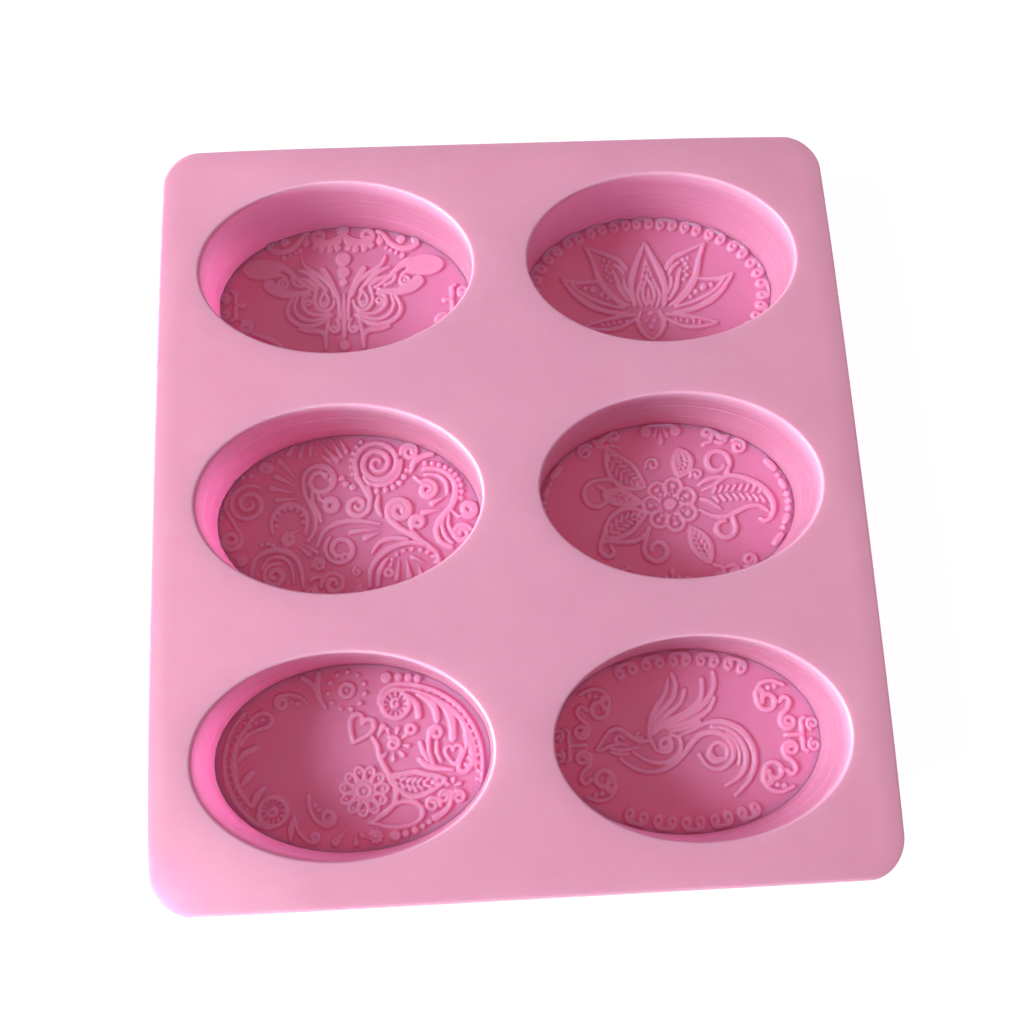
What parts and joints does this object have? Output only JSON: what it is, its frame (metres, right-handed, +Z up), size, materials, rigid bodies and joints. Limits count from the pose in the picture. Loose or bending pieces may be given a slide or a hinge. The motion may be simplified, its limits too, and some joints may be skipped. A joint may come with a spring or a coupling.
{
  "type": "silicone soap mould",
  "caption": "Flexible silicone soap mould: a thin round-cornered sheet with oval cups hanging under it, each with a raised ornament on its floor.",
  "frame": {"origin": "middle of the underside, on the plane the mould stands on", "axes": "+Z up out of the open cups, X along the cups' long axes across the two columns, +Y along the three rows"},
  "size_m": [0.1962, 0.214, 0.028],
  "materials": {
    "sheet": "matte, slightly translucent pink silicone",
    "wall": "matte, slightly translucent pink silicone with faint moulding lines",
    "floor": "matte pink silicone",
    "relief": "matte pink silicone"
  },
  "bodies": {
    "mould": {"top_sheet": "sheet", "edge_band": "sheet", "wall_butterfly": "wall", "wall_lotus": "wall", "wall_scroll": "wall", "wall_blossom": "wall", "wall_paisley": "wall", "wall_bird": "wall"},
    "cup_base_butterfly": {"floor_butterfly": "floor", "relief_butterfly": "relief"},
    "cup_base_lotus": {"floor_lotus": "floor", "relief_lotus": "relief"},
    "cup_base_scroll": {"floor_scroll": "floor", "relief_scroll": "relief"},
    "cup_base_blossom": {"floor_blossom": "floor", "relief_blossom": "relief"},
    "cup_base_paisley": {"floor_paisley": "floor", "relief_paisley": "relief"},
    "cup_base_bird": {"floor_bird": "floor", "relief_bird": "relief"}
  },
  "joints": [
    {"name": "push_out_butterfly", "type": "slide", "parent": "mould", "child": "cup_base_butterfly", "axis": [0, 0, 1], "range_m": [0, 0.008], "stiffness_N_per_m": 300},
    {"name": "push_out_lotus", "type": "slide", "parent": "mould", "child": "cup_base_lotus", "axis": [0, 0, 1], "range_m": [0, 0.008], "stiffness_N_per_m": 300},
    {"name": "push_out_scroll", "type": "slide", "parent": "mould", "child": "cup_base_scroll", "axis": [0, 0, 1], "range_m": [0, 0.008], "stiffness_N_per_m": 300},
    {"name": "push_out_blossom", "type": "slide", "parent": "mould", "child": "cup_base_blossom", "axis": [0, 0, 1], "range_m": [0, 0.008], "stiffness_N_per_m": 300},
    {"name": "push_out_paisley", "type": "slide", "parent": "mould", "child": "cup_base_paisley", "axis": [0, 0, 1], "range_m": [0, 0.008], "stiffness_N_per_m": 300},
    {"name": "push_out_bird", "type": "slide", "parent": "mould", "child": "cup_base_bird", "axis": [0, 0, 1], "range_m": [0, 0.008], "stiffness_N_per_m": 300}
  ]
}
